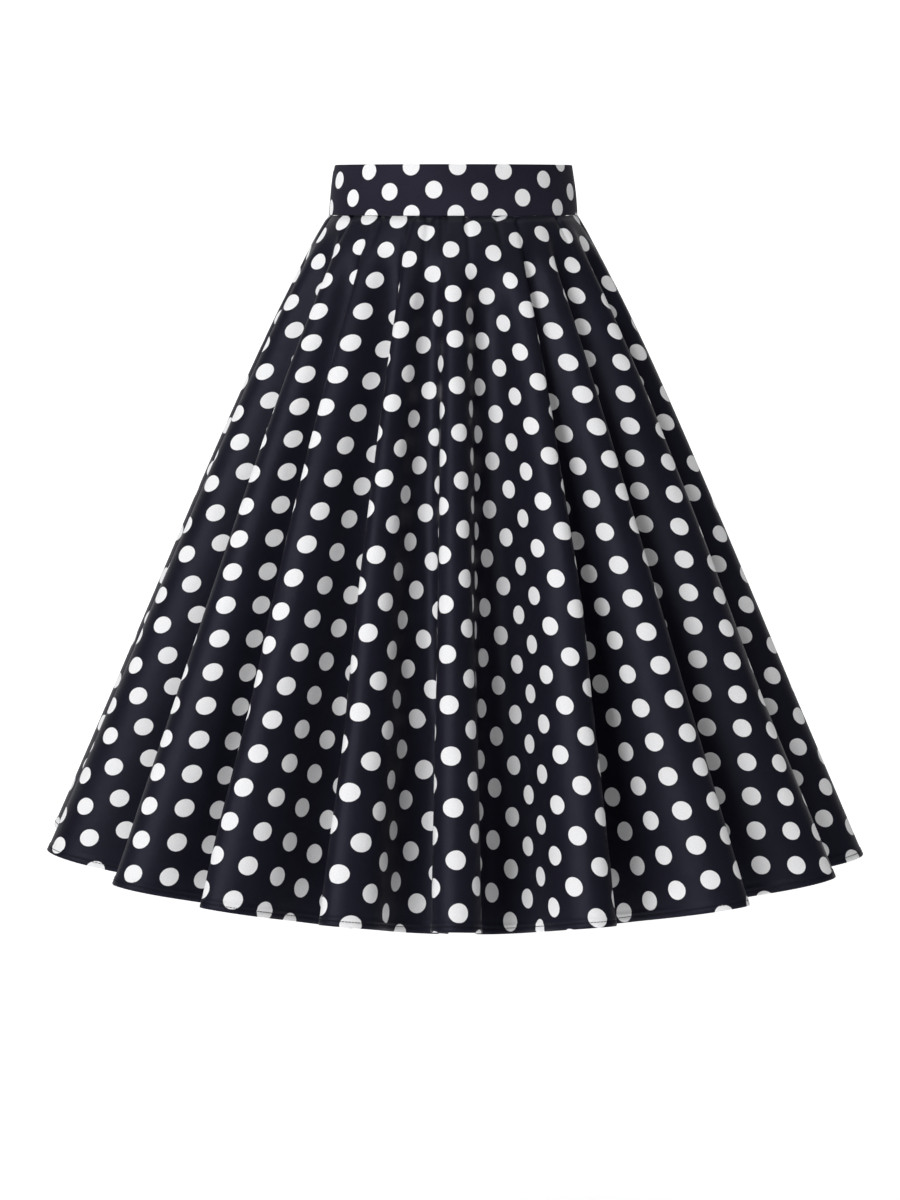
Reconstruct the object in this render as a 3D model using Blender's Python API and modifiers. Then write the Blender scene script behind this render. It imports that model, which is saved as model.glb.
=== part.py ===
# Circle skirt, worn form with no wearer: a stiff ring waistband and a full circle of
# printed cotton that falls from it in deep rounded flutes.
#
# Frame: metres, +Z up, front towards -Y, origin at the middle of the waistband.
# Angles are in degrees round the body, 0 at centre front and growing towards +X.

from collections import namedtuple
from math import cos, pi, radians, sin

import bmesh
import bpy
import numpy as np

# Waistband: an ellipse in plan, a little narrower at its top edge
BAND_HEIGHT = 0.049
BAND_WALL = 0.0024
BAND_TOP_HALF_WIDTH = 0.1167
BAND_TOP_HALF_DEPTH = 0.0870
SEAM_HALF_WIDTH = 0.1220
SEAM_HALF_DEPTH = 0.0915

# The waist sits lower at the front than at the back, and the hem less so
WAIST_TILT = 0.160
HEM_TILT = 0.084

# Skirt cloth, cut as one full circle and measured along the slant from the band
CLOTH_WALL = 0.0015
SLANT_LENGTH = 0.688
HEM_FLARE = 0.405
HIP_FLARE = 0.220
FLARE_FADE = 0.115
DEPTH_SPREAD = 0.925
VALLEY_DROP = 0.030
SIDE_LIFT = 0.021
HEM_ROLL = 0.013
FOLD_FADE = 0.075

# Seams: neighbouring pieces stand this far apart
SEAM_GAP = 0.0003
SIDE_SEAM = 90.0
CENTRE_BACK = 180.0

# Concealed zip behind the centre back seam, as far down as a whole row of the cloth
ZIP_TAPE_WIDTH = 0.024
ZIP_TAPE_WALL = 0.0010

# Fineness of the solids
COLUMNS_PER_FLUTE = 12
SKIRT_ROWS = 11
BAND_COLUMNS = 72
BAND_ROWS = 2
ZIP_COLUMNS = 4
ZIP_ROWS = 3
ROW_CROWDING = 1.15
MEANDER_STEPS = 160
SMALLEST_SWING = 1e-4
LARGEST_SWING = 2.0
SWING_STEPS = 101
PROFILE_STEPS = 400
ROUND_STEPS = 721

# Finishes as seen in daylight
COTTON_COLOUR = (0.012, 0.012, 0.028, 1.0)
BAND_COLOUR = (0.013, 0.013, 0.030, 1.0)
ZIP_COLOUR = (0.010, 0.010, 0.018, 1.0)

# One row per flute, from centre front round the wearer's left side.
# ridge: angle of the flute's crest at the hem
# lean: how far the crest has moved at the waist, in degrees
# valley: depth of the valley after this crest, against the mean depth
# start: slant below the band at which that valley begins
# place: where that valley lies between this crest (0) and the next (1)
Flute = namedtuple("Flute", "ridge lean valley start place")
FLUTES = [
    Flute(0.2, -0.3, 0.92, 0.035, 0.47),
    Flute(18.6, 7.2, 1.02, 0.005, 0.40),
    Flute(39.7, -1.2, 0.92, 0.005, 0.40),
    Flute(60.8, -0.2, 0.98, 0.000, 0.42),
    Flute(78.0, 0.0, 1.00, 0.015, 0.42),
    Flute(96.4, 0.0, 1.00, 0.010, 0.46),
    Flute(112.2, -1.0, 1.04, 0.000, 0.52),
    Flute(127.0, 0.5, 0.96, 0.025, 0.47),
    Flute(143.5, 0.0, 1.00, 0.005, 0.54),
    Flute(159.5, -1.0, 1.02, 0.030, 0.48),
    Flute(175.0, 0.0, 1.00, 0.015, 0.50),
    Flute(193.5, 0.0, 0.97, 0.005, 0.50),
    Flute(210.0, 0.5, 1.03, 0.020, 0.46),
    Flute(227.0, -1.5, 0.95, 0.000, 0.53),
    Flute(245.0, 0.5, 1.00, 0.015, 0.48),
    Flute(262.9, 0.0, 0.98, 0.025, 0.56),
    Flute(287.0, 0.0, 1.00, 0.005, 0.58),
    Flute(311.4, -2.0, 1.02, 0.010, 0.60),
    Flute(327.5, -2.9, 1.00, 0.005, 0.60),
    Flute(344.9, -1.7, 0.96, 0.030, 0.53),
]


def ellipse_perimeter(half_width, half_depth):
    """Perimeter of an ellipse, near enough for a garment."""
    return 2.0 * pi * np.sqrt((half_width**2 + half_depth**2) / 2.0)


def arc_angles(half_width, half_depth):
    """Body angles of an ellipse, and the same places as shares of its arc, in degrees."""
    body = np.linspace(-180.0, 540.0, ROUND_STEPS)
    turn = np.radians((body[1:] + body[:-1]) / 2.0)
    pace = np.hypot(half_width * np.cos(turn), half_depth * np.sin(turn))
    arc = np.concatenate([[0.0], np.cumsum(pace)])
    return body, arc / arc[-1] * 720.0 - 180.0


INNER_RADIUS = ellipse_perimeter(SEAM_HALF_WIDTH, SEAM_HALF_DEPTH) / (2.0 * pi)


def slant_profile():
    """Spread outwards and drop of the cloth, by slant below the band."""
    slant = np.linspace(0.0, SLANT_LENGTH, PROFILE_STEPS)
    flare = np.arctan(HEM_FLARE + HIP_FLARE * np.exp(-slant / FLARE_FADE))
    step = slant[1]
    spread = np.concatenate([[0.0], np.cumsum(np.sin(flare)[1:] * step)])
    drop = np.concatenate([[0.0], np.cumsum(np.cos(flare)[1:] * step)])
    return slant, spread, drop


PROFILE_SLANT, PROFILE_SPREAD, PROFILE_DROP = slant_profile()


def envelope(slant):
    """Half width, half depth and drop of the ring that the crests touch."""
    spread = np.interp(slant, PROFILE_SLANT, PROFILE_SPREAD)
    drop = np.interp(slant, PROFILE_SLANT, PROFILE_DROP)
    return SEAM_HALF_WIDTH + spread, SEAM_HALF_DEPTH + DEPTH_SPREAD * spread, drop


def cut_angle(body_angle, slant):
    """Angle in the flat circle of the cloth that hangs at this body angle, at one slant."""
    half_width, half_depth, _ = envelope(slant)
    body, share = arc_angles(half_width, half_depth)
    return float(np.interp(body_angle, body, share))


def hung_angle(flat_angle, slant):
    """Body angle at which the cloth of a flat angle hangs, at one slant."""
    half_width, half_depth, _ = envelope(slant)
    body, share = arc_angles(half_width, half_depth)
    return float(np.interp(flat_angle, share, body))


def meander(swing):
    """Travel along and across the fold line of a half wave, from valley to crest.

    The cloth's heading swings to and fro as a sine, which is the curve a bent strip
    takes. Swing is the largest heading, in radians.
    """
    turn = np.linspace(0.0, pi, MEANDER_STEPS)
    heading = swing * np.sin(turn)
    along = np.concatenate([[0.0], np.cumsum((np.cos(heading)[1:] + np.cos(heading)[:-1]) / 2.0)])
    across = np.concatenate([[0.0], np.cumsum((np.sin(heading)[1:] + np.sin(heading)[:-1]) / 2.0)])
    return turn / pi, along / (MEANDER_STEPS - 1), across / (MEANDER_STEPS - 1)


SWINGS = np.linspace(0.0, LARGEST_SWING, SWING_STEPS)
TRAVELS = np.array([meander(swing)[1][-1] for swing in SWINGS])
RISES = np.array([meander(swing)[2][-1] for swing in SWINGS])


def smooth_step(value):
    """Soft rise from 0 to 1."""
    value = np.clip(value, 0.0, 1.0)
    return value * value * (3.0 - 2.0 * value)


def half_waves(slant, lengths, shapes):
    """Swing of each half wave at which the cloth's ring fits inside the envelope.

    The lengths are those of the half waves along the cloth, and the shapes are the
    depths that their valleys have against each other.
    """
    half_width, half_depth, _ = envelope(slant)
    outer = ellipse_perimeter(half_width, half_depth)
    once_round = slice(2, 2 + 2 * len(FLUTES))
    low = 0.0
    high = 1.0
    for _ in range(30):
        level = (low + high) / 2.0
        swings = np.interp(level * shapes / lengths, RISES, SWINGS)
        travel = lengths * np.interp(swings, SWINGS, TRAVELS)
        if travel[once_round].sum() > outer - pi * level * shapes[once_round].mean():
            low = level
        else:
            high = level
    return level, swings, travel


def fold_stations(slant):
    """Cut angle, body angle and inward depth of each crest and valley, and the swings between."""
    count = len(FLUTES)
    high_share = 1.0 - slant / SLANT_LENGTH
    crests = [cut_angle(flute.ridge + flute.lean * high_share, slant) for flute in FLUTES]
    cut_angles = []
    for index in range(-1, count + 2):
        crest = crests[index % count] + 360.0 * (index // count)
        next_crest = crests[(index + 1) % count] + 360.0 * ((index + 1) // count)
        cut_angles += [crest, crest + (next_crest - crest) * FLUTES[index % count].place]
    cut_angles = np.array(cut_angles[:-1])
    lengths = (INNER_RADIUS + slant) * np.radians(np.diff(cut_angles))
    waves = (lengths[0::2] + lengths[1::2]) / 2.0
    flutes = [FLUTES[index % count] for index in range(-1, count + 1)]
    shapes = waves * np.array([flute.valley for flute in flutes])
    level, swings, travel = half_waves(slant, lengths, np.repeat(shapes, 2))
    grown = smooth_step((slant - np.array([flute.start for flute in flutes])) / FOLD_FADE)
    depths = np.zeros(len(cut_angles))
    depths[1::2] = level * shapes * grown
    body_angles = np.array([hung_angle(angle, slant) for angle in cut_angles])
    share = travel[0::2] / (travel[0::2] + travel[1::2])
    body_angles[1::2] = body_angles[0:-1:2] + share * np.diff(body_angles[0::2])
    return cut_angles, body_angles, depths, swings


def ring_points(slant, angles):
    """Points of the cloth ring at one slant, for angles of the flat circle."""
    half_width, half_depth, drop = envelope(slant)
    cut_angles, body_angles, depths, swings = fold_stations(slant)
    waves = [meander(max(swing, SMALLEST_SWING)) for swing in swings]
    low_share = slant / SLANT_LENGTH
    tilt = WAIST_TILT + (HEM_TILT - WAIST_TILT) * low_share
    deepest = depths.max() + 1e-9
    points = []
    for angle in angles:
        angle = angle % 360.0
        station = int(np.searchsorted(cut_angles, angle, side="right")) - 1
        part = (angle - cut_angles[station]) / (cut_angles[station + 1] - cut_angles[station])
        leaving_crest = station % 2 == 0
        local = 1.0 - part if leaving_crest else part
        travel, along, across = waves[station]
        forward = np.interp(local, travel, along) / along[-1]
        rise = np.interp(local, travel, across) / across[-1]
        advance = 1.0 - forward if leaving_crest else forward
        valley_depth = depths[station + 1] if leaving_crest else depths[station]
        inward = valley_depth * (1.0 - rise)
        body = radians(body_angles[station]
                       + advance * (body_angles[station + 1] - body_angles[station]))
        normal = np.array([sin(body) / half_width, -cos(body) / half_depth])
        normal /= np.linalg.norm(normal)
        x = half_width * sin(body) - inward * normal[0]
        y = -half_depth * cos(body) - inward * normal[1]
        sag = VALLEY_DROP * low_share**2 * inward / deepest
        lift = low_share**2 * (SIDE_LIFT * sin(body) ** 2 - HEM_ROLL * x)
        points.append((x, y, -BAND_HEIGHT / 2.0 - drop + tilt * y - sag + lift))
    return points


def band_points(height, angles):
    """Points of the waistband's outer face at one height over the seam."""
    share = height / BAND_HEIGHT
    half_width = SEAM_HALF_WIDTH + (BAND_TOP_HALF_WIDTH - SEAM_HALF_WIDTH) * share
    half_depth = SEAM_HALF_DEPTH + (BAND_TOP_HALF_DEPTH - SEAM_HALF_DEPTH) * share
    points = []
    for angle in angles:
        x = half_width * sin(radians(angle))
        y = -half_depth * cos(radians(angle))
        points.append((x, y, height - BAND_HEIGHT / 2.0 + WAIST_TILT * y))
    return points


def surface_from_rows(name, rows, collection, material):
    """An open grid surface lofted through rows of points, top row first."""
    mesh = bpy.data.meshes.new(name)
    builder = bmesh.new()
    grid = [[builder.verts.new(point) for point in row] for row in rows]
    for upper, lower in zip(grid, grid[1:]):
        for column in range(len(upper) - 1):
            builder.faces.new((upper[column], lower[column], lower[column + 1], upper[column + 1]))
    builder.normal_update()
    builder.to_mesh(mesh)
    builder.free()
    mesh.shade_smooth()
    mesh.materials.append(material)
    piece = bpy.data.objects.new(name, mesh)
    collection.objects.link(piece)
    return piece


def add_wall(piece, thickness):
    """Give an open surface its wall, all of it on the body side."""
    solidify = piece.modifiers.new("wall", "SOLIDIFY")
    solidify.thickness = thickness
    solidify.offset = -1.0
    solidify.use_even_offset = True
    solidify.use_quality_normals = True


def move_inwards(piece, distance):
    """Shift an open surface towards the body along its own normals."""
    builder = bmesh.new()
    builder.from_mesh(piece.data)
    builder.normal_update()
    shifts = [vert.normal * distance for vert in builder.verts]
    for vert, shift in zip(builder.verts, shifts):
        vert.co -= shift
    builder.to_mesh(piece.data)
    builder.free()


def cloth_material(name, colour, roughness):
    """A plain dyed cotton."""
    material = bpy.data.materials.new(name)
    material.use_nodes = True
    shader = material.node_tree.nodes["Principled BSDF"]
    shader.inputs["Base Color"].default_value = colour
    shader.inputs["Roughness"].default_value = roughness
    shader.inputs["Metallic"].default_value = 0.0
    return material


def panel_angles(first, last, slant, columns):
    """Evenly spaced angles across a panel, held back from its two seams."""
    held_back = np.degrees(SEAM_GAP / 2.0 / (INNER_RADIUS + slant))
    return np.linspace(first + held_back, last - held_back, columns + 1)


def skirt_slants():
    """Slants of the rows of points, closer together near the band."""
    share = np.linspace(0.0, 1.0, SKIRT_ROWS + 1) ** ROW_CROWDING
    return SEAM_GAP + (SLANT_LENGTH - SEAM_GAP) * share


def build_panel(name, first, last, collection, material):
    """One panel of the circle between two seams."""
    columns = round(COLUMNS_PER_FLUTE * len(FLUTES) * (last - first) / 360.0)
    rows = []
    for slant in skirt_slants():
        rows.append(ring_points(slant, panel_angles(first, last, slant, columns)))
    panel = surface_from_rows(name, rows, collection, material)
    add_wall(panel, CLOTH_WALL)
    return panel


def build_waistband(collection, material):
    """The stiffened band, open on the centre back seam."""
    flat = panel_angles(-CENTRE_BACK, CENTRE_BACK, 0.0, BAND_COLUMNS)
    angles = [hung_angle(angle, 0.0) for angle in flat]
    heights = np.linspace(BAND_HEIGHT, 0.0, BAND_ROWS + 1)
    rows = [band_points(height, angles) for height in heights]
    band = surface_from_rows("waistband", rows, collection, material)
    add_wall(band, BAND_WALL)
    return band


def build_zip(collection, material):
    """The closed concealed zip, a strip that backs the centre back seam."""
    spread = np.linspace(-0.5, 0.5, ZIP_COLUMNS + 1)
    rows = []
    for height in np.linspace(BAND_HEIGHT, 0.0, BAND_ROWS + 1):
        half = np.degrees(ZIP_TAPE_WIDTH / SEAM_HALF_WIDTH)
        rows.append(band_points(height, CENTRE_BACK + half * spread))
    for slant in skirt_slants()[1:ZIP_ROWS + 1]:
        half = np.degrees(ZIP_TAPE_WIDTH / (INNER_RADIUS + slant))
        rows.append(ring_points(slant, CENTRE_BACK + half * spread))
    strip = surface_from_rows("zip_tape", rows, collection, material)
    move_inwards(strip, BAND_WALL + SEAM_GAP)
    add_wall(strip, ZIP_TAPE_WALL)
    return strip


def main():
    """Clear the scene and build the skirt, piece by piece."""
    for old in list(bpy.data.objects):
        bpy.data.objects.remove(old, do_unlink=True)
    collection = bpy.data.collections.new("circle_skirt")
    bpy.context.scene.collection.children.link(collection)

    cotton = cloth_material("dotted_cotton", COTTON_COLOUR, 0.72)
    band_cotton = cloth_material("band_cotton", BAND_COLOUR, 0.70)
    zip_tape = cloth_material("zip_tape", ZIP_COLOUR, 0.60)

    build_waistband(collection, band_cotton)
    build_panel("skirt_front", -SIDE_SEAM, SIDE_SEAM, collection, cotton)
    build_panel("skirt_back_left", SIDE_SEAM, CENTRE_BACK, collection, cotton)
    build_panel("skirt_back_right", CENTRE_BACK, 360.0 - SIDE_SEAM, collection, cotton)
    build_zip(collection, zip_tape)


main()
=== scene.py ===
"""Circle skirt in dotted cotton: the finished look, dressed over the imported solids.

Frame: metres, +Z up, front towards -Y, origin at the middle of the waistband. Angles are
in degrees round the body, 0 at centre front and growing towards +X.
"""
from __future__ import annotations

import logging
import math
from dataclasses import dataclass
from enum import Enum
from functools import cached_property
from typing import Any, Sequence

import bpy
import numpy as np
from bpy.types import ID, Material, Node, NodeSocket, NodeTree, Object
from numpy import ndarray as Array
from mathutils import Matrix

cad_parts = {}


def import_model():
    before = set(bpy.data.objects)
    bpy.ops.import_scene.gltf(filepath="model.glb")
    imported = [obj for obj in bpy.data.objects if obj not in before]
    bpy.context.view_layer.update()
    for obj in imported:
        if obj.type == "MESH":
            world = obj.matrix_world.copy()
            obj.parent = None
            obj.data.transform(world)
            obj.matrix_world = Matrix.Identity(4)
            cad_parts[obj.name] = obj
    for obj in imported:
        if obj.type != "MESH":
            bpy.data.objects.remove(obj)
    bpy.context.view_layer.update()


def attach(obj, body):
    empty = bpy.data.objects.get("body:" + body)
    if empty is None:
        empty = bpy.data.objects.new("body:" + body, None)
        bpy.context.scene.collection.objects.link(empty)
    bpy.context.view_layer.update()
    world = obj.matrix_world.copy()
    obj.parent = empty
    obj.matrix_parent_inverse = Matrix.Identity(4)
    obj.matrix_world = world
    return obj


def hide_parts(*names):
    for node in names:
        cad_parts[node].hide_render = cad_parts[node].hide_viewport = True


log = logging.getLogger("circle_skirt")


class ClothSide(Enum):
    """Which side of the cloth a finish is for."""

    RIGHT = "right"
    WRONG = "wrong"


class PrintLay(Enum):
    """How the dotted print lies on a piece: shift across, shift along and turn."""

    CIRCLE = (-0.0105, 0.0035, -0.052)
    BAND = (-0.0189, 0.0, 0.035)


# Shader arithmetic


class Wire:
    """A shader socket that can be used in Python arithmetic."""

    def __init__(self, desk: NodeDesk, socket: NodeSocket) -> None:
        """Wrap a socket of the desk's node tree."""
        self.desk = desk
        self.socket = socket

    def _math(self, operation: str, other: Any = None, flipped: bool = False) -> Wire:
        """Add one Math node.

        Args:
            operation: the Math node's operation.
            other: the second value, a wire or a number, or None.
            flipped: whether the other value comes first.

        Returns:
            The node's result.
        """
        values = [self] if other is None else ([other, self] if flipped else [self, other])
        node = self.desk.add("ShaderNodeMath", {"operation": operation}, dict(enumerate(values)))
        return Wire(self.desk, node.outputs[0])

    def __add__(self, other: Any) -> Wire:
        """Sum."""
        return self._math("ADD", other)

    def __radd__(self, other: Any) -> Wire:
        """Sum with a number first."""
        return self._math("ADD", other, True)

    def __sub__(self, other: Any) -> Wire:
        """Difference."""
        return self._math("SUBTRACT", other)

    def __rsub__(self, other: Any) -> Wire:
        """Difference with a number first."""
        return self._math("SUBTRACT", other, True)

    def __mul__(self, other: Any) -> Wire:
        """Product."""
        return self._math("MULTIPLY", other)

    def __rmul__(self, other: Any) -> Wire:
        """Product with a number first."""
        return self._math("MULTIPLY", other, True)

    def __truediv__(self, other: Any) -> Wire:
        """Quotient."""
        return self._math("DIVIDE", other)

    def __rtruediv__(self, other: Any) -> Wire:
        """Quotient with a number first."""
        return self._math("DIVIDE", other, True)

    def sine(self) -> Wire:
        """Sine of an angle in radians."""
        return self._math("SINE")

    def fraction(self) -> Wire:
        """Part after the decimal point, always positive."""
        return self._math("FRACT")

    def root(self) -> Wire:
        """Square root."""
        return self._math("SQRT")

    def smaller(self, other: Any) -> Wire:
        """The smaller of two values."""
        return self._math("MINIMUM", other)

    def ramp(self, low: float, high: float) -> Wire:
        """Soft rise from 0 at low to 1 at high."""
        values = {"Value": self, "From Min": low, "From Max": high}
        return self.desk.wire(
            self.desk.add("ShaderNodeMapRange", {"interpolation_type": "SMOOTHSTEP"}, values), "Result"
        )


class NodeDesk:
    """Adds nodes to one tree and joins them."""

    def __init__(self, tree: NodeTree) -> None:
        """Work on the given tree."""
        self.tree = tree

    def add(
        self, kind: str, settings: dict[str, Any] | None = None, inputs: dict[Any, Any] | None = None
    ) -> Node:
        """Add one node of any type.

        Args:
            kind: the node's type name.
            settings: the node's own settings, made before its sockets are filled.
            inputs: values, wires or sockets by input name or index.

        Returns:
            The new node.
        """
        node = self.tree.nodes.new(kind)
        for name, value in (settings or {}).items():
            setattr(node, name, value)
        for key, value in (inputs or {}).items():
            self.put(node.inputs[key], value)
        return node

    def put(self, socket: NodeSocket, value: Any) -> None:
        """Give one input its value.

        Args:
            socket: the input.
            value: a value, a wire or an output socket.
        """
        if isinstance(value, Wire):
            value = value.socket
        if isinstance(value, NodeSocket):
            self.tree.links.new(value, socket)
        else:
            socket.default_value = value

    def wire(self, node: Node, output: str | int = 0) -> Wire:
        """One output of a node, ready for arithmetic."""
        return Wire(self, node.outputs[output])

    def noise(
        self, place: NodeSocket, scale: float, detail: float = 2.0, roughness: float = 0.5
    ) -> Wire:
        """Noise between 0 and 1 over the places that a socket gives."""
        values = {"Vector": place, "Scale": scale, "Detail": detail, "Roughness": roughness}
        return self.wire(self.add("ShaderNodeTexNoise", None, values))

    def bump(self, strength: float, distance: float, height: Wire) -> NodeSocket:
        """Normals bumped by a height."""
        values = {"Strength": strength, "Distance": distance, "Height": height}
        return self.add("ShaderNodeBump", None, values).outputs[0]

    def mix(self, share: Wire, low: Any, high: Any) -> NodeSocket:
        """Mix two colours, numbers or sockets, by the share of the second."""
        node = self.add("ShaderNodeMix", {"data_type": "RGBA"}, {0: share, 6: low, 7: high})
        return node.outputs[2]


# Finishes

Colour = tuple[float, float, float, float]


def toned(colour: Colour, factor: float) -> Colour:
    """The same colour, lighter or darker by a factor."""
    return tuple(factor * part for part in colour[:3]) + (1.0,)


def start_finish(name: str) -> tuple[Material, NodeDesk, Any]:
    """Start a finish.

    Args:
        name: the material's name.

    Returns:
        The material, a desk for its node tree and the inputs of its shader.
    """
    material = bpy.data.materials.new(name)
    material.use_nodes = True
    tree = material.node_tree
    return material, NodeDesk(tree), tree.nodes["Principled BSDF"].inputs


@dataclass(frozen=True)
class DottedCotton:
    """Plain-weave cotton printed with half-drop dots. Lengths are in metres."""

    name: str
    lay: PrintLay
    side: ClothSide = ClothSide.RIGHT
    ground: Colour = (0.0070, 0.0068, 0.0122, 1.0)
    dot_colour: Colour = (0.80, 0.80, 0.81, 1.0)
    wrong_ground: Colour = (0.012, 0.012, 0.024, 1.0)
    wrong_dot: Colour = (0.42, 0.42, 0.45, 1.0)
    period: float = 0.0470
    dot_radius: float = 0.0087
    print_edge: float = 0.00025
    print_wobble: float = 0.0005
    thread: float = 0.00045
    roughness: float = 0.44
    shine: float = 0.12
    shine_tint: Colour = (0.74, 0.79, 1.0, 1.0)
    faded: float = 1.55
    greyed: float = 0.93
    uneven_shine: float = 0.10
    cloud_share: float = 0.6
    ground_ramp: tuple[float, float] = (0.25, 0.8)
    dot_ramp: tuple[float, float] = (0.3, 0.7)
    wobble_scale: float = 900.0
    cloud_scale: float = 14.0
    slub_scale: float = 700.0
    rumple_scale: float = 55.0
    rumple_roughness: float = 0.55
    weave_height: float = 0.00003
    rumple_height: float = 0.0011
    bump_strength: float = 0.55

    def _cell_distance(self, across: Wire, along: Wire, shift: float) -> Wire:
        """Distance to the nearest dot of one square lattice.

        Args:
            across: place across the flat cut.
            along: place along it.
            shift: the lattice's shift, as a share of the period.

        Returns:
            The distance to the nearest dot's centre.
        """
        cell_x = ((across / self.period + 0.5 + shift).fraction() - 0.5) * self.period
        cell_y = ((along / self.period + 0.5 + shift).fraction() - 0.5) * self.period
        return (cell_x * cell_x + cell_y * cell_y).root()

    def material(self) -> Material:
        """Build the finish.

        Returns:
            A material that reads the piece's own flat-cut UV map, in metres.
        """
        material, desk, shader = start_finish(self.name)
        shift_x, shift_y, turn = self.lay.value
        place = desk.add("ShaderNodeUVMap", {"uv_map": "cut"}).outputs[0]
        split = desk.add("ShaderNodeSeparateXYZ", None, {0: place})
        flat_x, flat_y = desk.wire(split), desk.wire(split, 1)

        uneven = (desk.noise(place, self.wobble_scale) - 0.5) * self.print_wobble
        across = flat_x - shift_x - flat_y * turn
        along = flat_y + shift_y + flat_x * turn
        distance = self._cell_distance(across, along, 0.0)
        distance = distance.smaller(self._cell_distance(across, along, 0.5)) + uneven
        dot = 1.0 - distance.ramp(self.dot_radius - self.print_edge, self.dot_radius + self.print_edge)

        cloud = desk.noise(place, self.cloud_scale, 4.0)
        fleck = desk.noise(place, self.slub_scale, 3.0)
        ground = self.ground if self.side is ClothSide.RIGHT else self.wrong_ground
        white = self.dot_colour if self.side is ClothSide.RIGHT else self.wrong_dot
        patchy = cloud * self.cloud_share + fleck * (1.0 - self.cloud_share)
        ground_mix = desk.mix(patchy.ramp(*self.ground_ramp), ground, toned(ground, self.faded))
        white_mix = desk.mix(fleck.ramp(*self.dot_ramp), toned(white, self.greyed), white)
        desk.put(shader["Base Color"], desk.mix(dot, ground_mix, white_mix))
        rough = self.roughness + dot * self.uneven_shine + (cloud - 0.5) * self.uneven_shine
        desk.put(shader["Roughness"], rough)
        shader["Specular IOR Level"].default_value = self.shine
        shader["Specular Tint"].default_value = self.shine_tint

        turn_rate = 2.0 * math.pi / self.thread
        weave = (across * turn_rate).sine() * (along * turn_rate).sine()
        rumple = desk.noise(place, self.rumple_scale, 3.0, self.rumple_roughness)
        height = weave * self.weave_height + rumple * self.rumple_height
        desk.put(shader["Normal"], desk.bump(self.bump_strength, 1.0, height))
        return material


@dataclass(frozen=True)
class SpunThread:
    """Sewing thread or zip coil: a plain dark filament with a fine twist."""

    name: str
    colour: Colour = (0.0045, 0.0042, 0.0075, 1.0)
    roughness: float = 0.7
    shine: float = 0.1
    twist_scale: float = 2600.0
    lit: float = 1.8
    uneven_shine: float = 0.2
    bump_strength: float = 0.4
    twist_height: float = 0.0002

    def material(self) -> Material:
        """Build the finish.

        Returns:
            A procedural material in Object coordinates.
        """
        material, desk, shader = start_finish(self.name)
        strand = desk.noise(desk.add("ShaderNodeTexCoord").outputs["Object"], self.twist_scale)
        lit = toned(self.colour, self.lit)
        desk.put(shader["Base Color"], desk.mix(strand, self.colour, lit))
        desk.put(shader["Roughness"], self.roughness + strand * self.uneven_shine)
        shader["Specular IOR Level"].default_value = self.shine
        desk.put(shader["Normal"], desk.bump(self.bump_strength, self.twist_height, strand))
        return material


@dataclass(frozen=True)
class PaleStudio:
    """The floor and backdrop: a matt near-white sweep with a faint mottle."""

    name: str = "pale_studio"
    colour: Colour = (0.93, 0.93, 0.93, 1.0)
    glow: float = 0.62
    mottle: float = 0.985
    mottle_scale: float = 1.5
    roughness: float = 0.9

    def material(self) -> Material:
        """Build the finish.

        Returns:
            A procedural material in Object coordinates, which glows a little.
        """
        material, desk, shader = start_finish(self.name)
        mottle = desk.noise(desk.add("ShaderNodeTexCoord").outputs["Object"], self.mottle_scale)
        darker = toned(self.colour, self.mottle)
        desk.put(shader["Base Color"], desk.mix(mottle, darker, self.colour))
        shader["Roughness"].default_value = self.roughness
        shader["Specular IOR Level"].default_value = 0.0
        shader["Emission Color"].default_value = self.colour
        shader["Emission Strength"].default_value = self.glow
        return material


# Mesh helpers

# Keeps a division from zero
TINY = 1e-9


def smooth_step(value: Array | float) -> Array:
    """Soft rise from 0 to 1."""
    value = np.clip(value, 0.0, 1.0)
    return value * value * (3.0 - 2.0 * value)


def running_sum(steps: Array) -> Array:
    """Sum of the steps so far, from 0."""
    return np.concatenate([[0.0], np.cumsum(steps)])


def oval_normals(body: Array, half_width: float, half_depth: float) -> Array:
    """Outward unit normals of an oval seen from above, at body angles in radians."""
    normal = np.stack([np.sin(body) / half_width, -np.cos(body) / half_depth], axis=-1)
    return normal / np.linalg.norm(normal, axis=1, keepdims=True)


def oval_places(
    body: Array, half_width: float, half_depth: float, inset: Array | float
) -> tuple[Array, Array]:
    """Places inside an oval seen from above.

    Args:
        body: body angles in radians.
        half_width: half the oval's width.
        half_depth: half its depth.
        inset: how far inside the oval each place lies.

    Returns:
        X and y of each place.
    """
    normal = oval_normals(body, half_width, half_depth)
    x = half_width * np.sin(body) - inset * normal[:, 0]
    return x, -half_depth * np.cos(body) - inset * normal[:, 1]


def grid_faces(rows: int, columns: int, first: int = 0, flipped: bool = False) -> Array:
    """Quads of a grid of points.

    Args:
        rows: number of rows of points.
        columns: number of points in a row.
        first: index of the grid's first point.
        flipped: turn the faces over.

    Returns:
        An array of four indices a face.
    """
    index = np.arange(rows * columns).reshape(rows, columns) + first
    quads = np.stack([index[:-1, :-1], index[1:, :-1], index[1:, 1:], index[:-1, 1:]], axis=-1)
    quads = quads.reshape(-1, 4)
    return quads[:, ::-1] if flipped else quads


def grid_normals(points: Array) -> Array:
    """Unit normals of a grid of points, rows running down and columns to +X at the front."""
    normal = np.cross(np.gradient(points, axis=0), np.gradient(points, axis=1))
    return normal / np.maximum(np.linalg.norm(normal, axis=2, keepdims=True), TINY)


def new_object(name: str, data: ID) -> Object:
    """Put data in the scene.

    Args:
        name: the object's name.
        data: a mesh, a lamp or a camera.

    Returns:
        The object, at the origin.
    """
    piece = bpy.data.objects.new(name, data)
    bpy.context.scene.collection.objects.link(piece)
    return piece


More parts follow.
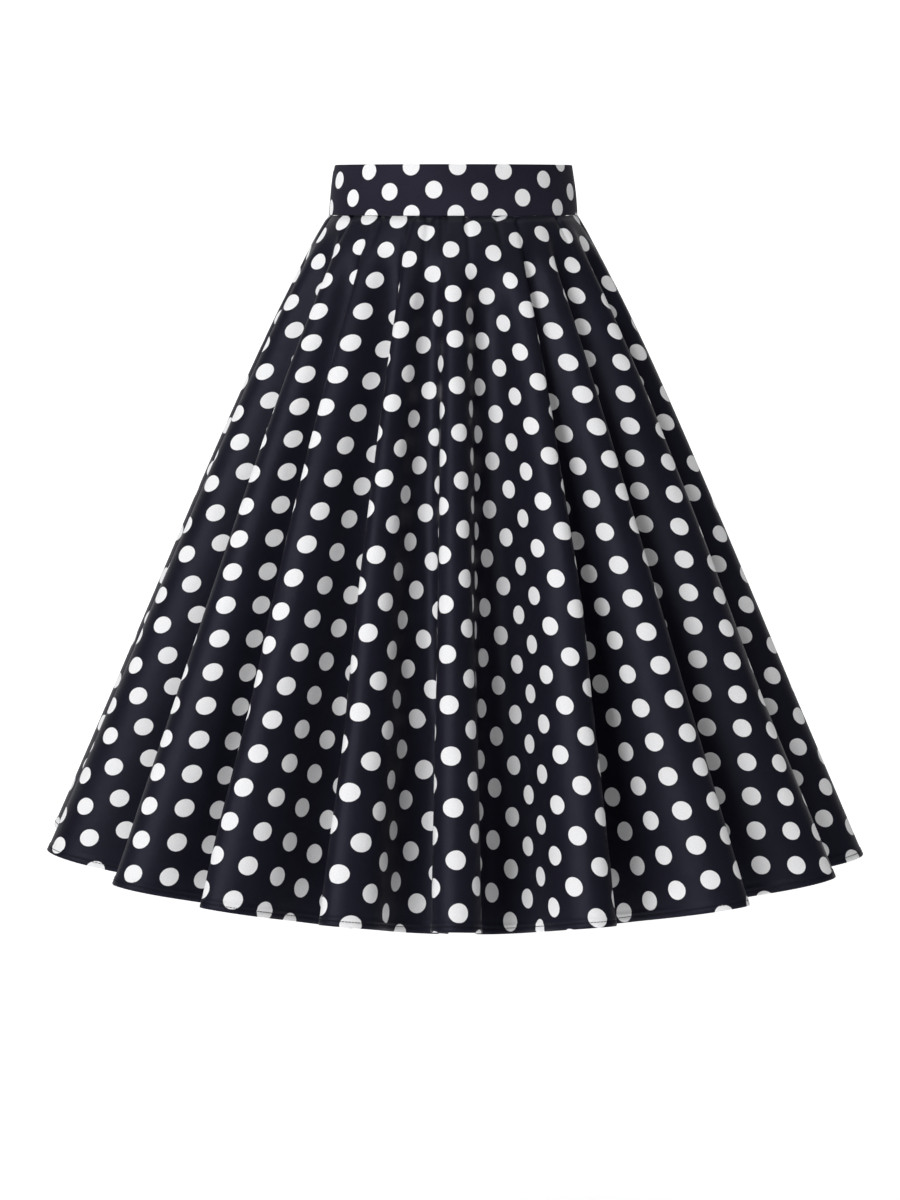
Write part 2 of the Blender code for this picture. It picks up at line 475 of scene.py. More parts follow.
def make_object(
    name: str,
    points: Array,
    faces: Sequence[Sequence[int]],
    materials: Sequence[Material],
    slots: Array | None = None,
    flat: Array | None = None,
) -> Object:
    """Make a smooth-shaded mesh object.

    Args:
        name: the piece's name.
        points: corner places, by row or by row and column.
        faces: corner indices of each face.
        materials: the piece's material slots.
        slots: material index of each face.
        flat: flat-cut place of each point, for the "cut" UV map, in metres.

    Returns:
        The object.
    """
    mesh = bpy.data.meshes.new(name)
    corners = points.reshape(-1, 3).tolist()
    mesh.from_pydata(corners, [], [tuple(map(int, face)) for face in faces])
    for material in materials:
        mesh.materials.append(material)
    if slots is not None:
        mesh.polygons.foreach_set("material_index", np.asarray(slots, dtype=np.int32))
    if flat is not None:
        corner = np.empty(len(mesh.loops), dtype=np.int32)
        mesh.loops.foreach_get("vertex_index", corner)
        layer = mesh.uv_layers.new(name="cut")
        places = np.asarray(flat, dtype=np.float32).reshape(-1, 2)
        layer.data.foreach_set("uv", places[corner].ravel())
    mesh.polygons.foreach_set("use_smooth", np.ones(len(mesh.polygons), dtype=bool))
    mesh.update()
    return new_object(name, mesh)


def make_shell(
    name: str, outer: Array, wall: Array, flat: Array, materials: Sequence[Material]
) -> Object:
    """Make a closed thin shell from a grid of outer points.

    Args:
        name: the piece's name.
        outer: grid of points on the right side of the cloth.
        wall: thickness of the cloth at each row.
        flat: flat-cut place of each grid point.
        materials: right-side finish, then wrong-side finish.

    Returns:
        The object.
    """
    rows, columns = outer.shape[:2]
    inner = outer - grid_normals(outer) * wall[:, None, None]
    count = rows * columns
    face = grid_faces(rows, columns)
    back = grid_faces(rows, columns, count, True)
    index = np.arange(count).reshape(rows, columns)
    ring = np.concatenate([index[0, :-1], index[:-1, -1], index[-1, :0:-1], index[:0:-1, 0]])
    after = np.roll(ring, -1)
    rim = np.stack([ring, after, after + count, ring + count], axis=-1)
    faces = np.concatenate([face, back, rim])
    slots = np.concatenate([np.zeros(len(face)), np.ones(len(back)), np.zeros(len(rim))])
    points = np.concatenate([outer, inner])
    return make_object(name, points, faces, materials, slots, np.concatenate([flat, flat]))


# Form of the cloth


@dataclass(frozen=True)
class Flute:
    """One flute of the circle.

    ridge is the angle of its crest at the hem, lean how far the crest has moved at the
    waist, valley the depth of the valley after it against the mean, start the slant below
    the band at which that valley begins, and place where it lies between this crest (0)
    and the next (1).
    """

    ridge: float
    lean: float
    valley: float
    start: float
    place: float


@dataclass(frozen=True)
class Crease:
    """One soft crease in the cloth: a trough below 0, a ridge above it."""

    angle: float
    top: float
    bottom: float
    width: float
    height: float
    drift: float = 0.0


# Ridge, lean, valley, start and place of each flute, from centre front round to the left
FLUTE_ROWS = (
    (0.2, -0.3, 0.92, 0.035, 0.47), (18.6, 7.2, 1.02, 0.005, 0.4), (39.7, -1.2, 0.92, 0.005, 0.4),
    (60.8, -0.2, 0.98, 0.0, 0.42), (78.0, 0.0, 1.0, 0.015, 0.42), (96.4, 0.0, 1.0, 0.01, 0.46),
    (112.2, -1.0, 1.04, 0.0, 0.52), (127.0, 0.5, 0.96, 0.025, 0.47), (143.5, 0.0, 1.0, 0.005, 0.54),
    (159.5, -1.0, 1.02, 0.03, 0.48), (175.0, 0.0, 1.0, 0.015, 0.5), (193.5, 0.0, 0.97, 0.005, 0.5),
    (210.0, 0.5, 1.03, 0.02, 0.46), (227.0, -1.5, 0.95, 0.0, 0.53), (245.0, 0.5, 1.0, 0.015, 0.48),
    (262.9, 0.0, 0.98, 0.025, 0.56), (287.0, 0.0, 1.0, 0.005, 0.58), (311.4, -2.0, 1.02, 0.01, 0.6),
    (327.5, -2.9, 1.0, 0.005, 0.6), (344.9, -1.7, 0.96, 0.03, 0.53),
)

# Angle, bottom, width and height of the creases that start under the band
BAND_CREASES = (
    (-21.0, 0.055, 0.0037, -0.0023), (-12.0, 0.085, 0.0044, -0.003), (-5.0, 0.06, 0.0037, -0.0019),
    (7.0, 0.07, 0.004, -0.0027), (22.0, 0.05, 0.0037, -0.0023), (33.0, 0.045, 0.0037, -0.0019),
    (-38.0, 0.06, 0.0042, -0.0023), (-57.0, 0.055, 0.0037, -0.0019), (58.0, 0.065, 0.004, -0.0023),
    (81.0, 0.05, 0.0037, -0.0019), (-79.0, 0.06, 0.004, -0.0021), (108.0, 0.055, 0.0037, -0.0023),
    (133.0, 0.075, 0.0042, -0.0025), (158.0, 0.05, 0.0037, -0.0019), (203.0, 0.06, 0.004, -0.0023),
    (231.0, 0.055, 0.0037, -0.0021), (256.0, 0.07, 0.0042, -0.0025),
)

# Angle, top, bottom, width, height and drift of the creases along the flutes
FLUTE_CREASES = (
    (4.5, 0.24, 0.6, 0.012, -0.003, 1.0), (11.0, 0.3, 0.68, 0.01, 0.0022, -0.8),
    (24.0, 0.18, 0.52, 0.011, 0.0026, 0.6), (30.0, 0.33, 0.69, 0.012, -0.0028, 0.9),
    (47.0, 0.26, 0.64, 0.012, 0.0025, -0.7), (63.0, 0.3, 0.69, 0.013, -0.0026, 0.5),
    (-9.0, 0.26, 0.62, 0.011, 0.0024, 0.7), (-18.0, 0.33, 0.69, 0.012, -0.0026, -0.8),
    (-24.0, 0.2, 0.56, 0.011, 0.0026, 0.5), (-36.0, 0.28, 0.66, 0.012, -0.003, -0.6),
    (-47.0, 0.34, 0.69, 0.012, 0.0024, 0.9), (-63.0, 0.26, 0.64, 0.013, -0.0026, -0.5),
    (97.0, 0.3, 0.69, 0.012, 0.0026, 0.7), (124.0, 0.26, 0.65, 0.012, -0.0028, -0.6),
    (152.0, 0.32, 0.69, 0.011, 0.0024, 0.8), (169.0, 0.24, 0.6, 0.012, -0.0026, 0.5),
    (198.0, 0.3, 0.69, 0.012, 0.0026, -0.7), (219.0, 0.26, 0.64, 0.012, -0.0028, 0.6),
    (240.0, 0.32, 0.69, 0.011, 0.0024, -0.8), (259.0, 0.26, 0.62, 0.012, -0.0026, 0.5),
)

FLUTES = tuple(Flute(*row) for row in FLUTE_ROWS)
CREASES = tuple(Crease(angle, 0.0, *rest) for angle, *rest in BAND_CREASES) + tuple(
    Crease(*row) for row in FLUTE_CREASES
)


@dataclass(frozen=True)
class DrapedCircle:
    """The full circle of cloth as it hangs from the band in flutes.

    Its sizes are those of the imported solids; ring() gives the same form, finer. seam_oval is
    half the width and half the depth of the ring that hangs from the band.
    """

    band_height: float = 0.049
    seam_oval: tuple[float, float] = (0.1220, 0.0915)
    waist_tilt: float = 0.160
    hem_tilt: float = 0.084
    slant_length: float = 0.688
    hem_flare: float = 0.405
    hip_flare: float = 0.220
    flare_fade: float = 0.115
    depth_spread: float = 0.925
    valley_drop: float = 0.030
    side_lift: float = 0.021
    hem_roll: float = 0.013
    fold_fade: float = 0.075
    seam_gap: float = 0.0003
    profile_steps: int = 400
    meander_steps: int = 160
    smallest_swing: float = 1e-4
    largest_swing: float = 2.0
    swing_steps: int = 101
    round_steps: int = 721
    bisections: int = 30
    flutes: tuple[Flute, ...] = FLUTES
    creases: tuple[Crease, ...] = CREASES

    @property
    def inner_radius(self) -> float:
        """Radius of the waist circle in the flat cut."""
        return self.perimeter(*self.seam_oval) / (2.0 * math.pi)

    @property
    def outer_radius(self) -> float:
        """Radius of the hem in the flat cut."""
        return self.inner_radius + self.slant_length

    @staticmethod
    def perimeter(half_width: float, half_depth: float) -> float:
        """Perimeter of an ellipse, near enough for a garment."""
        return 2.0 * math.pi * math.sqrt((half_width**2 + half_depth**2) / 2.0)

    def envelope(self, slant: float) -> tuple[float, float, float]:
        """Measure the ring that the crests touch.

        Args:
            slant: distance below the band along the cloth.

        Returns:
            Half width, half depth and drop.
        """
        run = np.linspace(0.0, self.slant_length, self.profile_steps)
        flare = np.arctan(self.hem_flare + self.hip_flare * np.exp(-run / self.flare_fade))[1:]
        spread, drop = (
            np.interp(slant, run, running_sum(part * run[1]))
            for part in (np.sin(flare), np.cos(flare))
        )
        half_width, half_depth = self.seam_oval
        return half_width + spread, half_depth + self.depth_spread * spread, drop

    def arc_angles(self, slant: float) -> tuple[Array, Array]:
        """Match angles round the body with angles in the flat cut.

        Args:
            slant: distance below the band along the cloth.

        Returns:
            Body angles, and the same places as shares of the ring's arc, in degrees.
        """
        half_width, half_depth, _ = self.envelope(slant)
        body = np.linspace(-180.0, 540.0, self.round_steps)
        turn = np.radians((body[1:] + body[:-1]) / 2.0)
        pace = np.hypot(half_width * np.cos(turn), half_depth * np.sin(turn))
        arc = running_sum(pace)
        return body, arc / arc[-1] * 720.0 - 180.0

    def cut_angle(self, body_angle: float, slant: float) -> float:
        """Angle in the flat circle of the cloth that hangs at this body angle, at one slant."""
        return float(np.interp(body_angle, *self.arc_angles(slant)))

    def hung_angle(self, flat_angle: Sequence[float], slant: float) -> Array:
        """Body angle at which the cloth of a flat angle hangs, at one slant."""
        body, share = self.arc_angles(slant)
        return np.interp(flat_angle, share, body)

    def meander(self, swing: float) -> tuple[Array, Array, Array]:
        """Half a wave of the bent strip, from valley to crest.

        Args:
            swing: largest heading of the strip, in radians.

        Returns:
            Share of the strip's length, travel along the fold line and travel across it.
        """
        turn = np.linspace(0.0, math.pi, self.meander_steps)
        heading = swing * np.sin(turn)
        along, across = (
            running_sum((part[1:] + part[:-1]) / 2.0) / (self.meander_steps - 1)
            for part in (np.cos(heading), np.sin(heading))
        )
        return turn / math.pi, along, across

    @cached_property
    def swing_table(self) -> tuple[Array, Array, Array]:
        """Tabulate the half wave.

        Returns:
            Swings, with the travel and the rise of a half wave at each.
        """
        swings = np.linspace(0.0, self.largest_swing, self.swing_steps)
        ends = np.array([[track[-1] for track in self.meander(swing)[1:]] for swing in swings])
        return swings, ends[:, 0], ends[:, 1]

    def half_waves(
        self, slant: float, lengths: Array, shapes: Array
    ) -> tuple[float, Array, Array]:
        """Fit the half waves of one ring inside the envelope.

        Args:
            slant: distance below the band along the cloth.
            lengths: length of each half wave along the cloth.
            shapes: depth of each half wave's valley against the others.

        Returns:
            The level that turns shapes into depths, each half wave's swing and its travel.
        """
        outer = self.perimeter(*self.envelope(slant)[:2])
        once_round = slice(2, 2 + 2 * len(self.flutes))
        swing_steps, travels, rises = self.swing_table
        low, high = 0.0, 1.0
        for _ in range(self.bisections):
            level = (low + high) / 2.0
            swings = np.interp(level * shapes / lengths, rises, swing_steps)
            travel = lengths * np.interp(swings, swing_steps, travels)
            if travel[once_round].sum() > outer - math.pi * level * shapes[once_round].mean():
                low = level
            else:
                high = level
        return level, swings, travel

    def stations(self, slant: float) -> tuple[Array, Array, Array, Array]:
        """Crests and valleys round the ring at one slant.

        Args:
            slant: distance below the band along the cloth.

        Returns:
            For each crest and valley in turn its angle in the flat cut, its angle round the
            body and its inward depth, then the swing of each half wave between them.
        """
        count = len(self.flutes)
        upper_share = 1.0 - slant / self.slant_length
        crests = [
            self.cut_angle(flute.ridge + flute.lean * upper_share, slant) for flute in self.flutes
        ]
        places: list[float] = []
        for index in range(-1, count + 2):
            crest = crests[index % count] + 360.0 * (index // count)
            next_crest = crests[(index + 1) % count] + 360.0 * ((index + 1) // count)
            places += [crest, crest + (next_crest - crest) * self.flutes[index % count].place]
        cut_angles = np.array(places[:-1])
        lengths = (self.inner_radius + slant) * np.radians(np.diff(cut_angles))
        flutes = [self.flutes[index % count] for index in range(-1, count + 1)]
        shapes = (lengths[0::2] + lengths[1::2]) / 2.0 * np.array([flute.valley for flute in flutes])
        level, swings, travel = self.half_waves(slant, lengths, np.repeat(shapes, 2))
        starts = np.array([flute.start for flute in flutes])
        depths = np.zeros(len(cut_angles))
        depths[1::2] = level * shapes * smooth_step((slant - starts) / self.fold_fade)
        body_angles = self.hung_angle(cut_angles, slant)
        share = travel[0::2] / (travel[0::2] + travel[1::2])
        body_angles[1::2] = body_angles[0:-1:2] + share * np.diff(body_angles[0::2])
        return cut_angles, body_angles, depths, swings

    def ring(self, slant: float, angles: Array) -> Array:
        """Points of the cloth at one slant.

        Args:
            slant: distance below the band along the cloth.
            angles: angles of the flat circle, in degrees.

        Returns:
            One point a row.
        """
        half_width, half_depth, drop = self.envelope(slant)
        cut_angles, body_angles, depths, swings = self.stations(slant)
        low_share = slant / self.slant_length
        tilt = self.waist_tilt + (self.hem_tilt - self.waist_tilt) * low_share
        angles = np.mod(angles, 360.0)
        station = np.searchsorted(cut_angles, angles, side="right") - 1
        part = (angles - cut_angles[station]) / (cut_angles[station + 1] - cut_angles[station])
        leaving_crest = station % 2 == 0
        local = np.where(leaving_crest, 1.0 - part, part)
        forward, rise = np.empty((2, len(angles)))
        for half in np.unique(station):
            inside = station == half
            travel, along, across = self.meander(max(swings[half], self.smallest_swing))
            forward[inside] = np.interp(local[inside], travel, along) / along[-1]
            rise[inside] = np.interp(local[inside], travel, across) / across[-1]
        advance = np.where(leaving_crest, 1.0 - forward, forward)
        inward = np.where(leaving_crest, depths[station + 1], depths[station]) * (1.0 - rise)
        reach = body_angles[station + 1] - body_angles[station]
        body = np.radians(body_angles[station] + advance * reach)
        x, y = oval_places(body, half_width, half_depth, inward)
        sag = self.valley_drop * low_share**2 * inward / (depths.max() + TINY)
        lift = low_share**2 * (self.side_lift * np.sin(body) ** 2 - self.hem_roll * x)
        return np.stack([x, y, -self.band_height / 2.0 - drop + tilt * y - sag + lift], axis=-1)

    def relief(self, slants: Array, angles: Array) -> Array:
        """Height of the small creases.

        Args:
            slants: slant of each row.
            angles: flat-cut angles of the points, a row a slant.

        Returns:
            Height by row and column.
        """
        radius = self.inner_radius + slants[:, None]
        height = np.zeros((len(slants), angles.shape[1]))
        for crease in self.creases:
            middle = (crease.top + crease.bottom) / 2.0
            half = (crease.bottom - crease.top) / 2.0
            reach = (slants - middle) / half
            if crease.top <= 0.0:
                along = smooth_step(1.0 - slants / crease.bottom)
            else:
                along = smooth_step(1.0 - np.abs(reach)) * (np.abs(reach) < 1.0)
            centre = crease.angle + crease.drift * reach[:, None]
            away = np.mod(angles - centre + 180.0, 360.0) - 180.0
            across = np.exp(-((radius * np.radians(away) / crease.width) ** 2))
            height += crease.height * along[:, None] * across
        return height

    def surface(self, slants: Array, angles: Array) -> Array:
        """Points of the cloth's right side, from each row's slant and its flat-cut angles."""
        points = np.stack([self.ring(slant, row) for slant, row in zip(slants, angles)])
        return points + grid_normals(points) * self.relief(slants, angles)[:, :, None]

    def flat_places(self, slants: Array, angles: Array) -> Array:
        """Place of each grid point in the flat cut, in metres, centre front downwards."""
        radius, turn = self.inner_radius + slants[:, None], np.radians(angles)
        return np.stack([radius * np.sin(turn), -radius * np.cos(turn)], axis=-1)


# Sub-assemblies

# Distances of the close rows from the hem edge, and of the close columns from a seam
HEM_ROWS = np.array([0.0092, 0.0082, 0.0070, 0.0055, 0.0050, 0.0045, 0.0028, 0.0012, 0.0004, 0.0])
SEAM_COLUMNS = np.array([0.0, 0.0006, 0.0013, 0.0024])


@dataclass
class SkirtPanel:
    """One panel of the circle between two seams, with its narrow turned hem."""

    node: str
    first: float
    last: float
    cloth: DrapedCircle
    cloth_wall: float = 0.0006
    hem_wall: float = 0.0013
    hem_zone: float = 0.012
    hem_turn: float = 0.0085
    hem_roll: float = 0.0006
    fold_reach: float = 0.0012
    stitch_height: float = 0.005
    stitch_width: float = 0.0007
    stitch_dent: float = 0.0003
    seam_roll: float = 0.0009
    seam_reach: float = 0.0022
    columns_per_flute: int = 36
    rows: int = 84

    def slants(self) -> Array:
        """Slants of the rows, with close rows where the hem is turned."""
        body = np.linspace(self.cloth.seam_gap, self.cloth.slant_length - self.hem_zone, self.rows)
        return np.concatenate([body, self.cloth.slant_length - HEM_ROWS])

    def angles(self, slants: Array) -> Array:
        """Angles of the points, with close columns beside the two seams.

        Args:
            slants: slant of each row.

        Returns:
            Angles in the flat cut, a row a slant.
        """
        flutes = len(self.cloth.flutes) * (self.last - self.first) / 360.0
        count = round(self.columns_per_flute * flutes)
        rows = []
        for slant in slants:
            radius = self.cloth.inner_radius + slant
            held_back = np.degrees((self.cloth.seam_gap / 2.0 + SEAM_COLUMNS) / radius)
            left, right = self.first + held_back, self.last - held_back[::-1]
            middle = np.linspace(left[-1], right[0], count + 1)
            rows.append(np.concatenate([left[:-1], middle, right[1:]]))
        return np.stack(rows)

    def turned_share(self, up: Array) -> Array:
        """How far the cloth is doubled at a height above the hem edge, from 0 to 1."""
        return smooth_step((self.hem_turn + self.fold_reach / 2.0 - up) / self.fold_reach)

    def finishing(self, slants: Array, angles: Array) -> Array:
        """Height of the turned hem and of the rolled seam edges.

        Args:
            slants: slant of each row.
            angles: flat-cut angles of the points, a row a slant.

        Returns:
            Height by row and column.
        """
        radius = self.cloth.inner_radius + slants[:, None]
        edge = radius * np.radians(np.minimum(angles - self.first, self.last - angles))
        seam = -self.seam_roll * (1.0 - smooth_step(edge / self.seam_reach))
        up = self.cloth.slant_length - slants
        hem = self.hem_roll * self.turned_share(up)
        stitched = self.stitch_dent * np.exp(-(((up - self.stitch_height) / self.stitch_width) ** 2))
        fold = self.hem_roll * (1.0 - smooth_step(up / self.fold_reach))
        return seam + (hem - stitched - fold)[:, None]

    def build(self, face: Material, back: Material) -> Object:
        """Build the panel as a closed thin shell.

        Args:
            face: right-side finish.
            back: wrong-side finish.

        Returns:
            The panel.
        """
        slants = self.slants()
        angles = self.angles(slants)
        points = self.cloth.surface(slants, angles)
        points = points + grid_normals(points) * self.finishing(slants, angles)[:, :, None]
        up = self.cloth.slant_length - slants
        wall = self.cloth_wall + (self.hem_wall - self.cloth_wall) * self.turned_share(up)
        wall = np.where(up < self.fold_reach / 2.0, self.cloth_wall, wall)
        flat = self.cloth.flat_places(slants, angles)
        return make_shell(self.node + "_cloth", points, wall, flat, [face, back])

    def dress(self, piece: Object) -> None:
        """Let the panel stand for its solid; the area and width of its cut are worked out but not
        stated.

        Args:
            piece: the panel.
        """
        share = (self.last - self.first) / 360.0
        outer = self.cloth.outer_radius
        area = math.pi * (outer**2 - self.cloth.inner_radius**2) * share
        width = 4.0 * outer * share
        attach(piece, "root")
        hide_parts(self.node)


@dataclass
class Waistband:
    """The stiffened band: a doubled strip, folded at the top and seamed at the bottom."""

    cloth: DrapedCircle
    height: float = 0.049
    wall: float = 0.0024
    top_oval: tuple[float, float] = (0.1167, 0.0870)
    columns: int = 360
    face_rows: int = 20
    edge_steps: int = 4
    seam_roundness: float = 0.5
    crown: float = 0.0005
    ripple: float = 0.0004
    ripples: float = 9.0
    ripple_lean: float = 40.0
    cut_radius: float = 0.50

    def outer(self, height: float, angles: Array, inset: float) -> Array:
        """Points of the band at one height.

        Args:
            height: height over the seam.
            angles: body angles in degrees.
            inset: how far the points lie inside the band's face.

        Returns:
            One point a row.
        """
        share = height / self.height
        ends = zip(self.cloth.seam_oval, self.top_oval)
        half_width, half_depth = (seam + (top - seam) * share for seam, top in ends)
        x, y = oval_places(np.radians(angles), half_width, half_depth, inset)
        return np.stack([x, y, height - self.height / 2.0 + self.cloth.waist_tilt * y], axis=-1)

    def section(self) -> list[tuple[float, float]]:
        """Outline the band's section, with a round fold on top and flatter edges at the seam.

        Returns:
            Height and inset of each point, from the seam upwards and back down inside.
        """
        radius = self.wall / 2.0
        low = radius * self.seam_roundness
        face = self.height - radius - low
        steps = 2 * self.edge_steps
        turns = [math.pi * step / steps for step in range(1, steps)]
        shares = [row / self.face_rows for row in range(self.face_rows + 1)]
        places = [(low + face * share, -self.crown * math.sin(math.pi * share)) for share in shares]
        for turn in turns:
            rise = self.height - radius + radius * math.sin(turn)
            places.append((rise, radius * (1.0 - math.cos(turn))))
        places += [(low + face * share, self.wall) for share in reversed(shares)]
        places += [(low * (1.0 - math.sin(turn)), radius * (1.0 + math.cos(turn))) for turn in turns]
        return places

    def build(self, material: Material) -> Object:
        """Build the band as one closed loft, open at the centre back.

        Args:
            material: right-side finish, which shows on both faces of the doubled strip.

        Returns:
            The band.
        """
        gap = math.degrees(self.cloth.seam_gap / 2.0 / self.cloth.inner_radius)
        flat_angles = np.linspace(-180.0 + gap, 180.0 - gap, self.columns + 1)
        angles = self.cloth.hung_angle(flat_angles, 0.0)
        turn = self.cloth.inner_radius * np.radians(flat_angles) / self.cut_radius
        places = self.section()
        outward = oval_normals(np.radians(angles), *self.cloth.seam_oval)
        outward = np.concatenate([outward, np.zeros((len(angles), 1))], axis=1)
        loops, flats = [], []
        for height, inset in places:
            fade = math.sin(math.pi * min(max(height / self.height, 0.0), 1.0))
            phase = np.radians(angles) * self.ripples + self.ripple_lean * height
            push = self.ripple * fade * np.sin(phase)[:, None] * outward
            loops.append(self.outer(height, angles, inset) + push)
            radius = self.cut_radius + self.height / 2.0 - height
            across, along = radius * np.sin(turn), self.cut_radius - radius * np.cos(turn)
            flats.append(np.stack([across, along], axis=-1))
        index = np.arange(len(places) * len(angles)).reshape(len(places), len(angles))
        after = np.roll(index, -1, axis=0)
        quads = np.stack([index[:, :-1], index[:, 1:], after[:, 1:], after[:, :-1]], axis=-1)
        faces = [*quads.reshape(-1, 4), index[:, 0], index[::-1, -1]]
        points, flat = np.stack(loops), np.stack(flats)
        return make_object("waistband_cloth", points, faces, [material], None, flat)

    def dress(self, piece: Object) -> None:
        """Let the band stand for its solid; the length of its cut is worked out but not stated.

        Args:
            piece: the band.
        """
        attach(piece, "root")
        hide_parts("waistband")
        length = 2.0 * math.pi * self.cloth.inner_radius


@dataclass
class HemStitches:
    """The row of machine stitches that holds the narrow hem, laid by Geometry Nodes."""

    cloth: DrapedCircle
    name: str = "hem_stitches"
    pitch: float = 0.0029
    stitch_length: float = 0.0022
    thread_radius: float = 0.00028
    sides: int = 6
    above_edge: float = 0.005
    proud: float = 0.00045
    beside: float = 0.001
    points_per_flute: int = 60

    def sizes(self) -> dict[str, float]:
        """Value of each named input of the node tree."""
        return {
            "Pitch": self.pitch,
            "Stitch Length": self.stitch_length,
            "Thread Radius": self.thread_radius,
        }

    def path(self) -> Array:
        """Follow the hem just outside the cloth.

        Returns:
            Points at the stitch line's height above the edge, one a row.
        """
        count = self.points_per_flute * len(self.cloth.flutes)
        angles = np.linspace(0.0, 360.0, count, endpoint=False)
        slant = self.cloth.slant_length - self.above_edge
        slants = np.array([slant - self.beside, slant, slant + self.beside])
        wrapped = np.concatenate([[angles[-1] - 360.0], angles, [360.0]])
        grid = self.cloth.surface(slants, np.tile(wrapped, (len(slants), 1)))
        return (grid + grid_normals(grid) * self.proud)[1, 1:-1]

    def tree(self, material: Material) -> NodeTree:
        """Build the node tree that turns a path of edges into stitches.

        Args:
            material: the thread's finish.

        Returns:
            The tree, with its sizes as named inputs.
        """
        tree = bpy.data.node_groups.new(self.name, "GeometryNodeTree")
        face = tree.interface
        face.new_socket("Geometry", in_out="INPUT", socket_type="NodeSocketGeometry")
        for title, value in self.sizes().items():
            face.new_socket(title, in_out="INPUT", socket_type="NodeSocketFloat").default_value = value
        face.new_socket("Geometry", in_out="OUTPUT", socket_type="NodeSocketGeometry")
        desk = NodeDesk(tree)
        inputs = desk.add("NodeGroupInput")
        path = desk.add("GeometryNodeMeshToCurve", None, {0: inputs.outputs["Geometry"]})
        spots = desk.add(
            "GeometryNodeCurveToPoints",
            {"mode": "LENGTH"},
            {"Curve": path.outputs[0], "Length": inputs.outputs["Pitch"]},
        )
        radius, depth = inputs.outputs["Thread Radius"], inputs.outputs["Stitch Length"]
        sizes = {"Vertices": self.sides, "Radius": radius, "Depth": depth}
        bar = desk.add("GeometryNodeMeshCylinder", None, sizes)
        places = {name: spots.outputs[name] for name in ("Points", "Rotation")}
        lay = desk.add("GeometryNodeInstanceOnPoints", None, places | {"Instance": bar.outputs["Mesh"]})
        real = desk.add("GeometryNodeRealizeInstances", None, {0: lay.outputs[0]})
        finish = {"Geometry": real.outputs[0], "Material": material}
        dressed = desk.add("GeometryNodeSetMaterial", None, finish)
        desk.add("NodeGroupOutput", None, {0: dressed.outputs[0]})
        return tree

    def build(self, material: Material) -> Object:
        """Lay the stitches along the closed path.

        Args:
            material: the thread's finish.

        Returns:
            The stitches as one plain mesh.
        """
        path = self.path()
        edges = [(index, (index + 1) % len(path)) for index in range(len(path))]
        guide_mesh = bpy.data.meshes.new(self.name + "_path")
        guide_mesh.from_pydata([tuple(point) for point in path], edges, [])
        guide = new_object(self.name + "_path", guide_mesh)
        modifier = guide.modifiers.new("stitches", "NODES")
        modifier.node_group = self.tree(material)
        for item in modifier.node_group.interface.items_tree:
            if item.item_type == "SOCKET" and item.in_out == "INPUT" and item.name in self.sizes():
                modifier[item.identifier] = self.sizes()[item.name]
        seen = guide.evaluated_get(bpy.context.evaluated_depsgraph_get())
        mesh = bpy.data.meshes.new_from_object(seen)
        mesh.name = self.name
        bpy.data.objects.remove(guide, do_unlink=True)
        return new_object(self.name, mesh)

    def dress(self, piece: Object) -> None:
        """Let the stitches ride with the skirt."""
        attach(piece, "root")


@dataclass(frozen=True)
class ZipTape:
    """The concealed zip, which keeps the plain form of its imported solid."""

    node: str = "zip_tape"

    def dress(self, material: Material) -> Object:
        """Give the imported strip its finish.

        Args:
            material: the tape's finish.

        Returns:
            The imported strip.
        """
        tape = bpy.data.objects[self.node]
        tape.data.materials.clear()
        tape.data.materials.append(material)
        return tape


@dataclass(frozen=True)
class Lamp:
    """One square soft lamp: its place, the length of its side and its power in watts."""

    name: str
    place: tuple[float, float, float]
    size: float
    power: float


LAMPS = (
    Lamp("key", (-1.6, -2.6, 1.2), 1.3, 84.0),
    Lamp("fill", (2.4, -2.6, 0.3), 2.0, 3.5),
    Lamp("top", (0.0, 0.4, 2.6), 2.4, 42.0),
)


